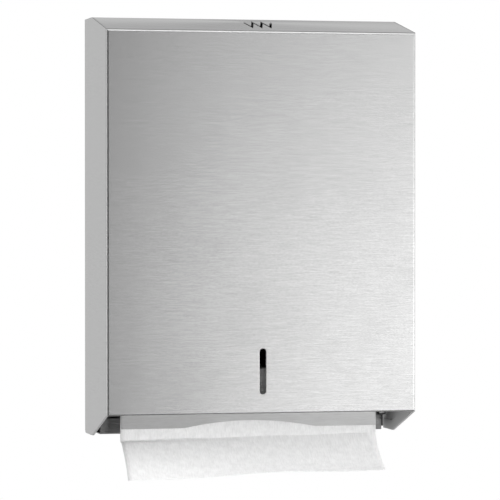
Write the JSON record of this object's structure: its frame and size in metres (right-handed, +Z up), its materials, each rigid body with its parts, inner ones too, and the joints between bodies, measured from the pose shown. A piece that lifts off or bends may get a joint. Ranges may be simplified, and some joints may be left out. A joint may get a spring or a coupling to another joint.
{
  "type": "paper towel dispenser",
  "caption": "Wall-hung stainless steel dispenser for interfolded paper towels, with a hinged front cover that locks with a flat key and towels hanging from a slot below",
  "frame": {"origin": "centre of the four-slot wall screw pattern, on the wall plane", "axes": "+X to the right as seen from the front, +Y into the wall, +Z up"},
  "size_m": [0.28, 0.104, 0.4086],
  "materials": {
    "cover_steel": "stainless sheet brushed from side to side",
    "plate_steel": "mill finish stainless sheet",
    "inner_steel": "mill finish stainless sheet",
    "rest_steel": "lightly brushed stainless sheet",
    "pin_steel": "bright turned stainless steel",
    "spring_steel": "drawn stainless spring steel",
    "washer_nylon": "natural nylon",
    "paper": "creped white towel paper"
  },
  "bodies": {
    "cabinet": {"back_plate": "plate_steel", "left_towel_guide": "inner_steel", "right_towel_guide": "inner_steel", "front_towel_rest": "rest_steel", "rear_towel_rest": "rest_steel", "left_hinge_bracket": "inner_steel", "right_hinge_bracket": "inner_steel", "left_hinge_pin": "pin_steel", "right_hinge_pin": "pin_steel", "left_hinge_washer": "washer_nylon", "right_hinge_washer": "washer_nylon", "left_hinge_clip": "spring_steel", "right_hinge_clip": "spring_steel", "latch_bracket": "inner_steel", "latch_pin": "pin_steel", "latch_pin_clip": "spring_steel", "latch_spring": "spring_steel", "towel_stack": "paper", "next_towel": "paper", "leading_towel": "paper"},
    "cover": {"front_cover": "cover_steel", "latch_keeper": "inner_steel", "left_hinge_ear": "inner_steel", "right_hinge_ear": "inner_steel"},
    "latch": {"latch_lever": "inner_steel", "latch_catch": "inner_steel"}
  },
  "joints": [
    {"name": "cover_hinge", "type": "hinge", "parent": "cabinet", "child": "cover", "pos_m": [0, -0.008, -0.183], "axis": [1, 0, 0], "range_deg": [0, 100]},
    {"name": "latch_press", "type": "hinge", "parent": "cabinet", "child": "latch", "pos_m": [0.007, -0.014, 0.1531], "axis": [1, 0, 0], "range_deg": [0, 10], "stiffness_Nm_per_rad": 0.15, "springref_deg": -20.05, "deforming": ["latch_spring"]}
  ]
}
